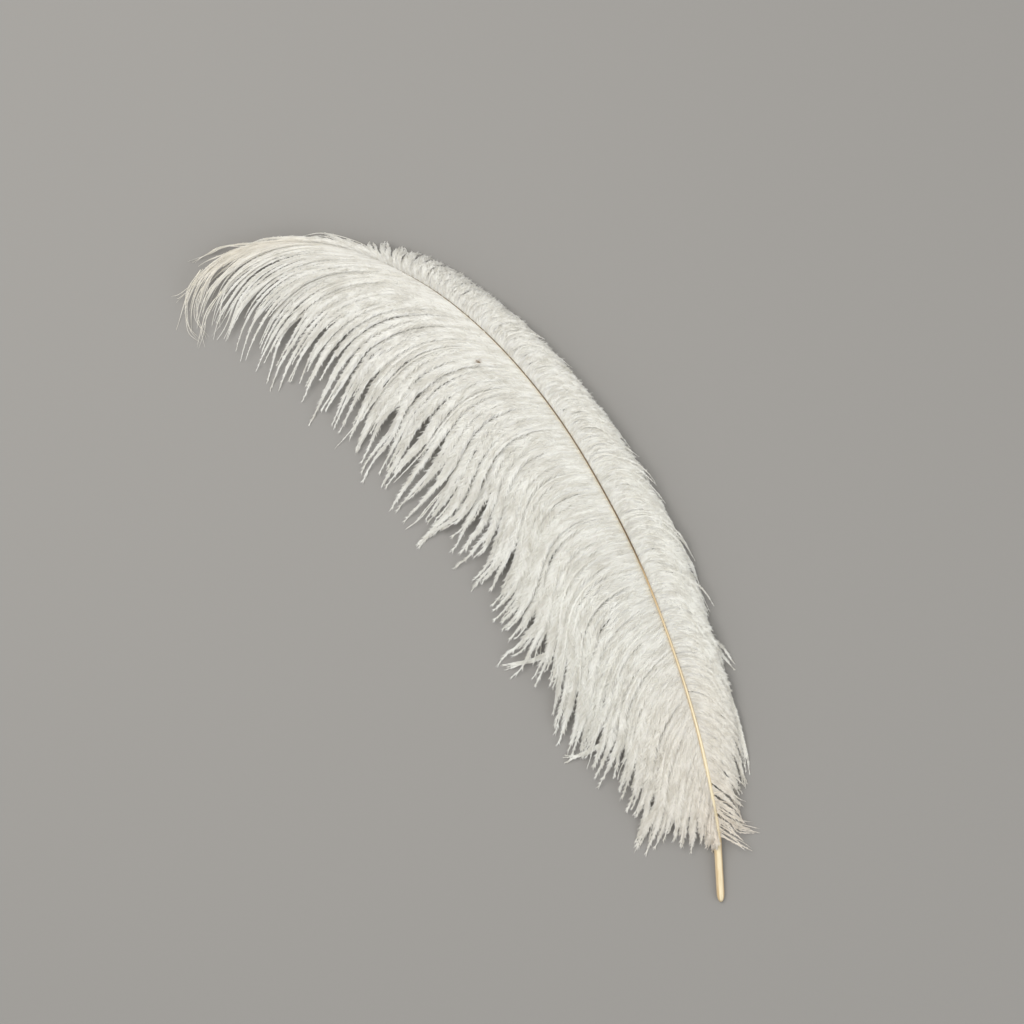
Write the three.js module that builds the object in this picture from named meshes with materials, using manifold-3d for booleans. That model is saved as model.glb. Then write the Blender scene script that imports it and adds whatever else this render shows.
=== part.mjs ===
// An ostrich plume, one grown piece: a bare quill, the tapering shaft above it, and two vanes of soft barbs
// that hang together in pointed locks. It lies face up on a table, as a loose feather does.
// Millimetres, +Z up. z = 0 is the table, and the origin is under the middle of the outline.
// +Y runs from the quill's end towards the top of the arch. Seen from above, the shaft bends to the left,
// the left vane is spread out, and the right vane curls back along the shaft.
import * as THREE from 'three';
import { mergeVertices } from 'three/addons/utils/BufferGeometryUtils.js';
import Module from 'manifold-3d';

const wasm = await Module();
wasm.setup();

const { clamp, degToRad, lerp, smoothstep } = THREE.MathUtils;

// Shaft
const VANE_LENGTH = 507; // along the shaft, from the lowest barbs to where the shaft ends
const VANE_BASE = new THREE.Vector2(163.2, -175.5); // where the lowest barbs leave the shaft
const QUILL_LENGTH = 44; // the bare part below the barbs
const QUILL_DIAMETER = 5.2;
const QUILL_TIP_SHARE = 0.4; // the blunt end's diameter as a share of the quill's
const QUILL_TIP_HEIGHT = 1.9; // of its axis above the table
const QUILL_TURN = -3; // degrees that the quill turns away from the shaft's lowest heading
const SHAFT_SIDES = 8;
const QUILL_RINGS = 6;
const SHAFT_RINGS = 22;

// Locks
const LEFT_LOCKS = 32;
const RIGHT_LOCKS = 28;
const LOCK_SIDES = 4;
const LOCK_RINGS = 6;
const LOCK_THICKNESS = 4.4; // in the middle of its length
const TIP_HEIGHT = 0.7; // of a tip's axis above the table
const TIP_HALF_WIDTH = 0.7;
const SHINGLE = 9; // degrees that each lock is rolled, so that it overlaps the next as shingles do
const PATH_STEPS = 48; // of the walk along a lock
const STRAY_PLACE = 0.18; // how far locks stray on the shaft, as a share of their spacing
const STRAY_START = 3; // how far the directions in which they leave it differ, in degrees
const STRAY_LIFT = 2.5; // how far their arches differ in height

// Values along the shaft: at is the share of the vane's length, from 0 at the lowest barbs to 1 at the tip.
const SHAFT = {
  at: [0, 0.09, 0.2, 0.32, 0.43, 0.52, 0.62, 0.71, 0.785, 0.845, 0.9, 0.96, 1],
  heading: [96.6, 102, 107.5, 111.5, 117.5, 121, 128, 135, 142.5, 151, 156.5, 170, 180], // degrees from +X
};
const RISE = {
  at: [0, 0.25, 0.5, 0.75, 0.9, 1],
  height: [5.5, 13, 18, 17, 12.5, 9], // of the shaft's axis above the table
  radius: [2.45, 1.6, 1.05, 0.7, 0.5, 0.4],
};

// A barb leaves the shaft at start degrees from the shaft's own heading, and has turned to end degrees at its tip.
// On the left it sags on its way: it has turned to sag degrees at the share turn of its length, and swings from there
// to end. On the right it turns the nearer to its root the larger bend is.
const SAG_END = 0.55; // share of a left barb's length where it stops sagging
const LEFT = {
  side: 1,
  locks: LEFT_LOCKS,
  width: 18, // where a lock is widest
  lift: 9, // of a lock's middle over a plain droop from shaft to table
  stray: { end: 5, length: 0.07 }, // how far locks differ: degrees, and share of the length
  at: [0, 0.07, 0.12, 0.17, 0.3, 0.38, 0.44, 0.5, 0.57, 0.65, 0.75, 0.88, 1],
  start: [162, 152, 140, 126, 98, 75, 65, 58, 52, 38, 26, 16, 2],
  sag: [176, 168, 162, 158, 148, 150, 136, 138, 124, 106, 108, 88, 61],
  end: [174, 162, 148, 140, 138, 136, 102, 110, 104, 108, 108, 96, 84],
  turn: [0.6, 0.6, 0.6, 0.6, 0.58, 0.58, 0.54, 0.54, 0.58, 0.68, 0.95, 1, 1],
  length: [11, 50, 82, 97, 120, 138, 128, 124, 126, 134, 141, 137, 105],
};
const RIGHT = {
  side: -1,
  locks: RIGHT_LOCKS,
  width: 9.5,
  lift: 7,
  stray: { end: 4, length: 0.04 },
  at: [0, 0.07, 0.12, 0.17, 0.3, 0.45, 0.6, 0.7, 0.77, 0.82, 0.86, 0.89, 0.92, 0.955, 1],
  start: [120, 134, 128, 106, 66, 53, 48, 46, 45, 45, 40, 22, 8, 2, 0],
  end: [128, 156, 170, 175, 182, 182, 182, 178, 172, 165, 140, 15, -18, -32, -38],
  length: [30, 34, 43, 51, 62, 63, 58, 45, 31, 25, 20, 21, 38, 60, 82],
  bend: [1.2, 1.3, 1.5, 1.9, 2.6, 2.5, 2.8, 2.4, 1.6, 1.1, 0.9, 0.9, 1, 1, 0.9],
};

// Reads a row of a table at one place, on a smooth curve through its values
function along(at, values, place) {
  const next = at.findIndex((a) => a > place);
  const i = next < 0 ? at.length - 2 : Math.max(next - 1, 0);
  const slope = (k) => (values[k + 1] - values[k]) / (at[k + 1] - at[k]);
  const slopeAt = (k) => (slope(Math.max(k - 1, 0)) + slope(Math.min(k, at.length - 2))) / 2;
  const step = at[i + 1] - at[i];
  const t = clamp((place - at[i]) / step, 0, 1);
  const rest = 1 - t;
  const leaving = t * rest * rest * step * slopeAt(i);
  const arriving = t * t * rest * step * slopeAt(i + 1);
  return values[i] + (values[i + 1] - values[i]) * t * t * (3 - 2 * t) + leaving - arriving;
}

// A number from -1 to 1 that is the same each time, for one lock and one use
function vary(lock, use) {
  const wave = Math.sin(lock * 12.9898 + use * 78.233) * 43758.5453;
  return 2 * (wave - Math.floor(wave)) - 1;
}

// Walks in the plane in even steps, with a heading in degrees that depends on the share of the way gone
function walk(start, length, steps, heading) {
  const points = [start.clone()];
  for (let k = 0; k < steps; k++) {
    const angle = degToRad(heading((k + 0.5) / steps));
    const step = new THREE.Vector2(Math.cos(angle), Math.sin(angle)).multiplyScalar(length / steps);
    points.push(points[k].clone().add(step));
  }
  return points;
}

// The point at a share of the way along evenly spaced points
function pointOn(points, share) {
  const exact = share * (points.length - 1);
  const k = Math.min(Math.floor(exact), points.length - 2);
  return points[k].clone().lerp(points[k + 1], exact - k);
}

const raise = (plan, height) => new THREE.Vector3(plan.x, plan.y, height);
const shaftHeading = (place) => along(SHAFT.at, SHAFT.heading, place);
const shaftHeight = (place) => along(RISE.at, RISE.height, place);
const shaftRadius = (place) => along(RISE.at, RISE.radius, place);
const shaftPlan = walk(VANE_BASE, VANE_LENGTH, VANE_LENGTH, shaftHeading);

// Only the positions of a geometry, with shared corners merged
function bare(geometry) {
  geometry.deleteAttribute('normal');
  geometry.deleteAttribute('uv');
  return mergeVertices(geometry);
}

// Bends a unit cylinder along a path. A ring is an oval: half a width across, half a thickness up, and a roll.
function sweep(path, sides, halfWidths, halfThicknesses, rolls) {
  const last = path.length - 1;
  const geometry = bare(new THREE.CylinderGeometry(1, 1, 1, sides, last));
  const position = geometry.getAttribute('position');
  const corner = new THREE.Vector3();
  for (let v = 0; v < position.count; v++) {
    corner.fromBufferAttribute(position, v);
    const k = Math.round((corner.y + 0.5) * last);
    const ahead = path[Math.min(k + 1, last)].clone();
    const tangent = ahead.sub(path[Math.max(k - 1, 0)]).normalize();
    const across = tangent.clone().cross(new THREE.Vector3(0, 0, 1)).normalize();
    across.applyAxisAngle(tangent, rolls[k]);
    const up = across.clone().cross(tangent);
    const placed = path[k].clone();
    placed.addScaledVector(across, corner.x * halfWidths[k]);
    placed.addScaledVector(up, corner.z * halfThicknesses[k]);
    position.setXYZ(v, placed.x, placed.y, placed.z);
  }
  return geometry;
}

function toSolid(geometry) {
  const vertProperties = new Float32Array(geometry.getAttribute('position').array);
  const triVerts = new Uint32Array(geometry.index.array);
  return new wasm.Manifold(new wasm.Mesh({ numProp: 3, vertProperties, triVerts }));
}

// The quill and the shaft, one tapering rod from the blunt end on the table to the tip
function shaft() {
  const path = [];
  const radii = [];
  const down = degToRad(shaftHeading(0) + QUILL_TURN + 180);
  for (let k = QUILL_RINGS; k > 0; k--) {
    const share = k / QUILL_RINGS;
    const reach = new THREE.Vector2(Math.cos(down), Math.sin(down)).multiplyScalar(QUILL_LENGTH * share);
    path.push(raise(VANE_BASE.clone().add(reach), lerp(shaftHeight(0), QUILL_TIP_HEIGHT, share)));
    radii.push((QUILL_DIAMETER / 2) * Math.max(QUILL_TIP_SHARE, Math.sqrt(1 - share ** 6)));
  }
  for (let k = 0; k <= SHAFT_RINGS; k++) {
    const place = k / SHAFT_RINGS;
    path.push(raise(pointOn(shaftPlan, place), shaftHeight(place)));
    radii.push(shaftRadius(place));
  }
  const flat = path.map(() => 0);
  return sweep(path, SHAFT_SIDES, radii, radii, flat);
}

// How a left and a right barb turn, in degrees from the shaft's heading, with the share of their length gone
const swing = (start, sag, end, turn) => (t) => {
  return lerp(start, sag, smoothstep(t, 0, turn)) + (end - sag) * smoothstep(t, SAG_END, 1);
};
const curl = (start, end, bend) => (t) => lerp(start, end, 1 - (1 - t) ** bend);

// One leaf-shaped lock of barbs. It rises a little from the shaft, droops to the table and ends in a point.
function lock(vane, index) {
  const { side } = vane;
  const name = side * (index + 1);
  const place = (index + 0.5 + STRAY_PLACE * vary(name, 1)) / vane.locks;
  const row = (key) => along(vane.at, vane[key], place);
  const moreEnd = vane.stray.end * vary(name, 3);
  const start = row('start') + STRAY_START * vary(name, 2);
  const end = row('end') + moreEnd;
  const length = row('length') * (1 + vane.stray.length * vary(name, 4));
  const lift = vane.lift + STRAY_LIFT * vary(name, 5);
  const turned = side > 0
    ? swing(start, row('sag') + moreEnd, end, row('turn'))
    : curl(start, end, row('bend'));
  const heading = (t) => shaftHeading(place) + side * turned(t);
  const plan = walk(pointOn(shaftPlan, place), length, PATH_STEPS, heading);

  // Where locks leave the shaft at a slant they are closer together, so their roots are narrower.
  const rootWidth = 3 + 1.1 * (VANE_LENGTH / vane.locks) * Math.sin(degToRad(start));
  const rootThickness = 1.5 * shaftRadius(place);
  const path = [];
  const halfWidths = [];
  const halfThicknesses = [];
  const rolls = [];
  for (let k = 0; k <= LOCK_RINGS; k++) {
    const t = (k / LOCK_RINGS) ** (side > 0 ? 1 : 1.35); // rings lie closer where the right locks curl
    const arch = Math.sin(Math.PI * t);
    const droop = TIP_HEIGHT + (shaftHeight(place) - TIP_HEIGHT) * (1 - t ** 1.6);
    path.push(raise(pointOn(plan, t), droop + lift * arch));
    const width = lerp(rootWidth, vane.width, smoothstep(t, 0, 0.6));
    halfWidths.push((width / 2) * (1 - t ** 7) + TIP_HALF_WIDTH);
    halfThicknesses.push((lerp(rootThickness, LOCK_THICKNESS, arch) / 2) * (1 - 0.5 * t ** 3));
    rolls.push(side * degToRad(SHINGLE) * arch);
  }
  return sweep(path, LOCK_SIDES, halfWidths, halfThicknesses, rolls);
}

// Everything that has grown together, without what would lie below the table
function plume() {
  let whole = toSolid(shaft());
  for (const vane of [LEFT, RIGHT]) {
    for (let index = 0; index < vane.locks; index++) {
      whole = whole.add(toSolid(lock(vane, index)));
    }
  }
  const underTable = bare(new THREE.BoxGeometry(1000, 1000, 100));
  underTable.translate(0, 0, -50);
  whole = whole.subtract(toSolid(underTable));

  // Locks that lie over each other shut in small hollows. They come apart as bodies of negative volume.
  const [outside] = whole.decompose().sort((a, b) => b.volume() - a.volume());
  const mesh = outside.getMesh();
  const geometry = new THREE.BufferGeometry();
  geometry.setAttribute('position', new THREE.BufferAttribute(new Float32Array(mesh.vertProperties), 3));
  geometry.setIndex(new THREE.BufferAttribute(new Uint32Array(mesh.triVerts), 1));
  geometry.computeVertexNormals();
  return geometry;
}

const barbs = new THREE.MeshStandardMaterial({ color: 0xf1efe8, roughness: 0.9, metalness: 0 });
const feather = new THREE.Mesh(plume(), barbs);
feather.name = 'ostrich_feather';

const group = new THREE.Group();
group.add(feather);

export default group;
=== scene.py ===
"""A white ostrich plume that lies face up on a pale table and is seen from straight above.

Sizes are in millimetres in the tables and are turned into metres when a mesh is made. The plume's frame has
+Z up from the table, +Y from the quill's end towards the top of the arch, and its tip on the -X side. Every
barb is a thin ribbon with hundreds of fine barbules. Barbs grow in bands, and three bands make one of the
frame's locks.
"""

import math

import bpy
import numpy as np
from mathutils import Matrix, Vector


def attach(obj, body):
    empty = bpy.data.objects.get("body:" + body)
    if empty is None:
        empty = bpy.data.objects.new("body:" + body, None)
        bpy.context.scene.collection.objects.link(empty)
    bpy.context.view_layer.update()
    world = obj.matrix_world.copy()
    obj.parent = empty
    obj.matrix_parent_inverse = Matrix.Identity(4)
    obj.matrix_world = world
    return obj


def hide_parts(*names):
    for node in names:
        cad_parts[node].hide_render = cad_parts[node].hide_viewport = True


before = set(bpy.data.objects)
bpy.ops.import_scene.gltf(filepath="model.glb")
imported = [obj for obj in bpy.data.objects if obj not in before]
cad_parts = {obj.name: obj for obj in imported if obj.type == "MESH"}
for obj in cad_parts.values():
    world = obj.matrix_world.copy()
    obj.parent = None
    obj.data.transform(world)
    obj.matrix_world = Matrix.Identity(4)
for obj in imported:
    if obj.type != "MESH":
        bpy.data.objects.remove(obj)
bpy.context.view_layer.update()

MM = 0.001
SEED = 7
FULL_TURN = 2 * math.pi

# Shaft, in millimetres
VANE_LENGTH = 507
VANE_BASE = (163.2, -175.5)  # where the lowest barbs leave the shaft
SHAFT_STEPS = 400
SHAFT_SIDES = 20
QUILL_RINGS, VANE_RINGS = 24, 220
QUILL_LENGTH = 44
QUILL_RADIUS = 2.55
QUILL_TURN = -3  # degrees
QUILL_TIP_HEIGHT = 1.9
QUILL_ROUND = 0.86  # share of the quill's length where its end begins to close
QUILL_CLOSED, QUILL_LEAST = 0.85, 0.1  # how far the end closes, as shares of the squared radius
PORE_DEPTH = 1.2  # of the small pore in the quill's end
POINT_LENGTH = 0.4
GROOVE_DEPTH, GROOVE_WIDTH = 0.35, 0.5  # share of the radius, and radians around it
GROOVE_BEGINS = (0, 0.1)

# Values along the shaft: at is the share of the vane's length, from the lowest barbs to the tip.
SHAFT = dict(
    at=[0, 0.09, 0.2, 0.32, 0.43, 0.52, 0.62, 0.71, 0.785, 0.845, 0.9, 0.96, 1],
    heading=[96.6, 102, 107.5, 111.5, 117.5, 121, 128, 135, 142.5, 151, 156.5, 170, 180],
)
RISE = dict(at=[0, 0.25, 0.5, 0.75, 0.9, 1], height=[5.5, 13, 18, 17, 12.5, 9])
GIRTH = dict(
    at=[0, 0.066, 0.12, 0.17, 0.33, 0.45, 0.6, 0.77, 1],
    radius=[2.45, 1.65, 1.2, 0.95, 0.64, 0.5, 0.42, 0.33, 0.2],
)

# The rows of a vane's table:
#   start, end    degrees from the shaft's own heading at which barbs leave it, and to which they have turned
#   sag, turn     left only: barbs have turned to sag degrees at the share turn of their length
#   bend          right only: the larger it is, the nearer to their root the barbs turn
#   length        of the barbs
#   fluff         length of the barbules
#   fill          share of barbs that are still there
#   loose         share of further barbs that lie loose among them, with ends that differ by frizz degrees
#   lift          how far barbs rise between the shaft and their tips
#   stray_end, stray_length   how far the ends and lengths of locks differ, in degrees and as a share
#   lock_slope    how much higher a lock's edge nearest the quill is than its other edge
#   band_arch     how much higher a band's middle is than its edges
#   unevenness    how much bands differ
#   partings      (place, from, to, width): barbs on both sides of a place step apart by width, between two
#                 shares of their length
#   strays        strands that have come loose: (place, number, fluff, the points that they pass)
LEFT = dict(
    side=1, locks=32, lift=9, stray_end=5, stray_length=0.07,
    lock_slope=1.4, band_arch=1.1, frizz=12, unevenness=1.0,
    at=[0, 0.07, 0.12, 0.17, 0.3, 0.38, 0.44, 0.5, 0.57, 0.65, 0.75, 0.88, 1],
    start=[162, 152, 140, 126, 98, 75, 65, 58, 52, 38, 26, 16, 2],
    sag=[176, 168, 162, 158, 148, 150, 136, 138, 124, 106, 108, 88, 61],
    end=[174, 162, 148, 140, 138, 136, 102, 110, 104, 108, 108, 96, 84],
    turn=[0.6, 0.6, 0.6, 0.6, 0.58, 0.58, 0.54, 0.54, 0.58, 0.68, 0.95, 1, 1],
    length=[11, 50, 82, 97, 120, 138, 128, 124, 126, 134, 141, 137, 105],
    fluff=[3.4, 4.2, 4.8, 5.2, 5.6, 5.6, 5.6, 5.6, 5.6, 5.2, 4.4, 3.0, 1.8],
    fill=[0.8, 1, 1, 1, 1, 1, 1, 1, 1, 1, 1, 1, 1],
    loose=[0.12, 0.08, 0.05, 0.04, 0.04, 0.04, 0.04, 0.04, 0.04, 0.04, 0.05, 0.08, 0.12],
    partings=[
        (0.177, 0.60, 0.85, 4), (0.242, 0.58, 0.80, 4), (0.262, 0.55, 0.75, 3), (0.289, 0.45, 0.72, 3),
        (0.325, 0.20, 0.42, 2), (0.404, 0.62, 0.88, 5), (0.417, 0.84, 1.05, 5), (0.427, 0.20, 0.62, 2),
        (0.426, 0.66, 0.80, 3), (0.507, 0.80, 1.05, 5), (0.525, 0.90, 1.10, 4), (0.536, 0.74, 0.90, 3),
        (0.560, 0.78, 1.15, 8), (0.635, 0.52, 0.82, 2.4), (0.657, 0.48, 0.60, 2), (0.664, 0.60, 0.98, 6),
        (0.714, 0.50, 0.66, 2), (0.806, 0.60, 0.95, 5), (0.895, 0.74, 1.05, 5), (0.962, 0.50, 0.80, 4),
    ],
    strays=[
        (0.30, 2, 1.5, [(96, -93), (94, -101), (92.7, -109.7)]),
        (0.27, 4, 2.5, [(97, -105), (86, -115.5), (74, -123), (64.8, -127.2)]),
        (0.42, 1, 1.0, [(54, -33), (50.5, -40.8), (47.9, -52.5), (47.9, -63.5)]),
        (0.40, 4, 2.5, [(68, -38), (60.2, -47.3), (46.6, -59), (23.8, -66.8)]),
        (0.56, 2, 1.2, [(-8, 60), (-24.3, 39.2), (-33, 30), (-40.6, 23.6)]),
        (0.97, 4, 1.0, [(-120, 209), (-148, 210), (-160.5, 208), (-171, 204.5), (-180.5, 199.5)]),
        (0.98, 2, 0.6, [(-172, 194), (-180, 184), (-186, 179), (-193.3, 176.4)]),
        (0.97, 3, 0.6, [(-173.8, 193.3), (-182, 180), (-184.2, 166), (-182.9, 157.5), (-177, 147.7)]),
        (0.96, 3, 0.6, [(-168, 188), (-176, 176), (-177.5, 162), (-172, 150)]),
        (0.95, 4, 0.6, [(-160, 180), (-170, 166), (-174.5, 154), (-176, 143)]),
    ],
)
RIGHT = dict(
    side=-1, locks=28, lift=7, stray_end=4, stray_length=0.04,
    lock_slope=0.5, band_arch=0.4, frizz=8, unevenness=0.45,
    at=[0, 0.07, 0.12, 0.17, 0.3, 0.45, 0.6, 0.7, 0.77, 0.82, 0.86, 0.89, 0.92, 0.955, 1],
    start=[120, 134, 128, 106, 66, 53, 48, 46, 45, 45, 40, 22, 8, 2, 0],
    end=[128, 156, 170, 175, 182, 182, 182, 178, 172, 165, 140, 15, -18, -32, -38],
    length=[30, 34, 43, 51, 62, 63, 58, 45, 31, 25, 20, 21, 38, 60, 82],
    bend=[1.2, 1.3, 1.5, 1.9, 2.6, 2.5, 2.8, 2.4, 1.6, 1.1, 0.9, 0.9, 1, 1, 0.9],
    fluff=[1.4, 2.4, 3.4, 4.2, 4.8, 4.8, 4.6, 4.4, 4.2, 4, 3.8, 3.6, 3.2, 2.6, 1.8],
    fill=[0.4, 0.92, 1, 1, 1, 1, 1, 1, 1, 1, 1, 1, 1, 1, 1],
    loose=[0.4, 0.35, 0.3, 0.25, 0.18, 0.14, 0.14, 0.14, 0.14, 0.14, 0.14, 0.12, 0.1, 0.1, 0.1],
    partings=[],
    strays=[
        (0.00, 6, 1.4, [(162.9, -159.1), (170, -165), (177.2, -169.5), (188.3, -172.7)]),
        (0.02, 4, 0.8, [(161.6, -151.3), (170, -154), (177, -162), (182, -171)]),
        (0.03, 3, 0.8, [(160.5, -147), (170, -148), (176, -155), (178, -163)]),
        (0.01, 3, 0.8, [(162.9, -157), (166, -162), (168, -168), (168.5, -173)]),
        (0.40, 2, 1.6, [(109.6, 14.5), (127.8, 12.5), (139.5, 0.85), (147.3, -10.9), (159, -28.4)]),
        (0.27, 3, 3.0, [(130.4, -40.8), (144.7, -35.6), (152.5, -39.5), (162.9, -52.5), (174.6, -66.1)]),
        (0.22, 6, 2.4, [(148, -45), (160, -64), (172.5, -88.5), (179.5, -112.3), (182.5, -133)]),
        (0.18, 6, 2.4, [(152, -75), (163, -94), (172, -112), (177, -128), (181, -143.5)]),
        (0.15, 4, 2.0, [(154, -95), (163, -112), (170, -130), (174, -146)]),
        (0.93, 2, 1.0, [(-62, 207), (-75, 213), (-95, 216.5), (-110.8, 215.4)]),
    ],
)

# Locks, which differ as they do in the frame's own solid
STRAY_PLACE = 0.18  # how far they stray along the shaft, as a share of their spacing
STRAY_START = 3  # how far the directions in which they leave it differ, in degrees

# Bands of barbs
BANDS_PER_LOCK = 3
BARBS_PER_BAND = 4
REACH = 1.03  # of the longest barbs, over the table's length
BAND_SHORTER, BAND_SHORTER_AT_FOOT = 0.06, 0.14  # how much shorter some bands are
ABOVE_FOOT = (0.08, 0.2)  # places between which the foot ends
BAND_START, BAND_END = 0.35, 1.2  # how far directions of bands differ, in degrees
LIKE_LOCK = 0.25  # share of a lock's own direction at its end that its bands take over
LOCK_LIFT, BAND_LIFT = 0.9, 0.3  # how far locks and bands differ in lift, in millimetres

# Barbs within a band
BARB_ROOM = (0.3, 0.7)  # where a barb stands in its own room
RUFFLED_FOOT = (0.04, 0.16)  # places between which barbs become orderly
DROOPING_TIP = (0.85, 0.97)  # places between which they become frizzy again
FRIZZ, FRIZZ_AT_TIP, FRIZZ_AT_FOOT = 4, 10, 6  # how far their ends differ, in degrees
ROOT_FRIZZ, ROOT_FRIZZ_AT_FOOT = 0.6, 3
OUTER_SHORTER = 0.16  # how much shorter a band's outermost barbs are
WORN, WORN_AT_FOOT = 0.3, 0.2  # how much shorter the most worn barbs are
SAG_END = 0.55  # share of a left barb's length where it stops sagging
BARB_AT_SAG, BAND_AT_SAG, LOCK_AT_SAG = 0.15, 0.3, 1  # share of their own end's turn that the sag shows

# How bands draw together, and barbs within a band: shares of the way, and of the length
LOCK_PULL, LOCK_PULL_DIFFERS = 0.35, 0.8
BAND_PULL, BAND_PULL_AT_TIP = 0.2, 0.55
PULL_GROWS, PULL_AT_TIP = (0.1, 0.6), (0.6, 1.0)
TIGHTNESS, LOOSE_TIGHTNESS = (0.75, 1.15), 0.1
LESS_PULL_AT_FOOT = 0.45

# Slow waves of barbs and bands: how wide in millimetres, and how many to a barb
OWN_WAVE, BAND_WAVE, WAVE_HEIGHT = 0.35, 0.6, 0.3
OWN_WAVES, BAND_WAVES = (1.0, 2.5), (0.7, 1.6)
WAVES_GROW = (0.2, 0.7)
PARTING_REACH = 0.012  # along the shaft
PARTING_DIP = 0.6

# Heights, in millimetres, and the shares of the length between which they change
TIP_HEIGHT = 1.0
LOWEST = 0.15  # that any barbule comes to the table
BARB_ABOVE_LOWEST = 0.3
FALL = 1.6  # power of the curve by which barbs come down to the table
BAND_SLOPE = 1.2  # how much higher a band's edge nearest the quill is than its other edge
SLOPE_GROWS, SLOPE_FADES, SLOPE_LOST = (0.04, 0.3), (0.85, 1), 0.5
LOOSE_LIFT = 1.2
ROOT_LOWER, ROOT_RISES = 0.7, (0, 0.06)  # share of the shaft's radius that barbs start below its axis
SHINGLE = 9  # degrees that a lock is rolled, so that it overlaps the next
OWN_ROLL, BAND_ROLL = 9, 8  # degrees that barbs and bands differ from it
STRAY_HEIGHT = 12  # where a stray leaves the vane
STRAY_FALL = 1.4
STRAY_SPREAD, SPREAD_GROWS = 1.0, (0.4, 1.6)  # of a strand's hairs, and how it grows along them

# Valleys between bands: webs and barbules of the barbs next to them hang down into them
VALLEY = (0.2, 0.42)  # shares of the length where they begin and are full
VALLEY_DEPTHS = (0.15, 0.75)  # draws below the first have no valley, and those above the second a full one
OUTER_BARBS = 0.25  # from a band's middle, of its width
VALLEY_WEB, VALLEY_DROP = 1.3, 0.75  # how much wider and steeper webs are there
VALLEY_DROOP, VALLEY_SHORTER = 14, 0.2  # degrees that barbules hang down there, and how much shorter they are

# Barbs and their webs, in millimetres
BARB_STEPS = 26
BARB_WIDTH, BARB_TAPER = 0.34, 0.75
WEB_AT_SHAFT, WEB_AT_ROOT, WEB_WIDTH = 0.7, 1.1, 1.25  # from the barb to the web's edge
WEB_NEAR_SHAFT, WEB_GROWS, WEB_NARROWS, WEB_TAPER = (0, 0.05), (0.05, 0.35), (0.78, 1), 0.8
WEB_FLUFF_GROWS = (0.05, 0.25)
WEB_UNEVEN = (0.75, 1.2)
WEB_BELOW = 0.08  # a web's middle lies this far below its barb
WEB_DROP = 0.22  # how far the edge is lower, as a share of its distance
FULL_FLUFF, LEAST_WEB = 5.0, 0.15  # barbules this long go with a web of full width, and its least share
LOOSE_FLUFF, LOOSE_WEB = 0.35, 0.4  # loose barbs have less of both

# Barbules and their tufts, in millimetres and degrees
BARBULE_WIDTH = 0.24
TUFT_PITCH = 1.3  # along one edge of a barb
PER_TUFT = 8
TUFT_CLOSE = 0.55  # share of the way that a tuft's tips draw together
LAST_PLACE = 0.9999  # share of a barb's length where its last barbule can stand
LEAST_SINE = 0.3  # keeps barbules that lie close to their barb from having long roots
TUFT_TURN, TUFT_TILT, TUFT_SIZE = 9, 18, (0.75, 1.1)  # how tufts differ
OWN_TURN, OWN_TILT, OWN_SIZE = 3, 7, (0.85, 1.1)  # how barbules of one tuft differ
ROOT_ANGLE, OUTER_ANGLE, TIP_ANGLE_LOST = 20, 32, 16  # from the barb's own direction
ANGLE_GROWS, ANGLE_SHRINKS, LEAST_ANGLE = (0.12, 0.5), (0.7, 1), 4
BARBULE_RISE = 1  # degrees above the plane of a band
ROOT_FLUFF, FLUFF_GROWS = 0.6, (0.02, 0.35)  # barbules next to the shaft are shorter
POINTED, POINTED_MORE = 0.42, 0.18  # how much shorter they are at a barb's end
POINT_BEGINS = 0.72  # share of a barb's length from which they are shorter
MORE_POINTED = (0.6, 0.85)  # places between which ends become more pointed
THINNER, THINNER_FROM = 0.3, (0.8, 0.95)  # barbs of the drooping tip have fewer tufts
BARE_END, BARE_END_FROM = 0.15, (0.85, 0.95)  # and a bare end
CLOSER, CLOSER_FROM = 0.5, (0.8, 0.97)  # and barbules that lie closer to them

# The map for colours runs outwards along the barbs, and along the shaft.
MAP_SPLIT, MAP_MARGIN = 0.8, 0.05  # webs and barbules use the map below the split, and the barbs the rest
MAP_HALF_WIDTH = 0.0005  # of a barb and its webs
BARBULE_ON_MAP = 0.002  # a barbule's root, along the barb
SPECK = (0.15, 0.66)  # where a brown speck lies on the left vane's map
SPECK_SCALE = (70.0, 220.0)  # one over its reach on the map

# Table, light and camera, in metres
TABLE_SIZE = 6.0
TABLE_GREY, TABLE_ROUGHNESS = (0.262, 0.254, 0.241), 0.8
WORLD_COLOR, WORLD_STRENGTH = (1.0, 0.99, 0.97, 1), 0.66
LIGHTS = [  # (name, place, size, watts, colour)
    ("key", (-0.6, 0.5, 1.65), 1.1, 22, (1.0, 0.99, 0.975)),
    ("fill", (1.4, -0.6, 1.3), 1.6, 10, (0.96, 0.98, 1.0)),
]
VIEW_WIDTH, VIEW_HEIGHT = 0.6656, 0.015  # what the camera sees, at a height within the plume
VIEW_CENTER = (0.029, 0.03595)
LENS, SENSOR = 85.0, 36.0


def along(at, values, place):
    """Reads a row of a table at places from 0 to 1, on a smooth curve through its values."""
    at, values = np.asarray(at, float), np.asarray(values, float)
    place = np.clip(np.asarray(place, float), at[0], at[-1])
    slopes = np.diff(values) / np.diff(at)
    slopes = np.concatenate([slopes[:1], (slopes[:-1] + slopes[1:]) / 2, slopes[-1:]])
    i = np.clip(np.searchsorted(at, place, side="right") - 1, 0, len(at) - 2)
    step = at[i + 1] - at[i]
    t = (place - at[i]) / step
    rest = 1 - t
    leaving = t * rest * rest * step * slopes[i]
    arriving = t * t * rest * step * slopes[i + 1]
    return values[i] + (values[i + 1] - values[i]) * t * t * (3 - 2 * t) + leaving - arriving


def smoothstep(x, low, high):
    """From 0 below low to 1 above high, without a kink."""
    t = np.clip((x - low) / (high - low), 0, 1)
    return t * t * (3 - 2 * t)


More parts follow.
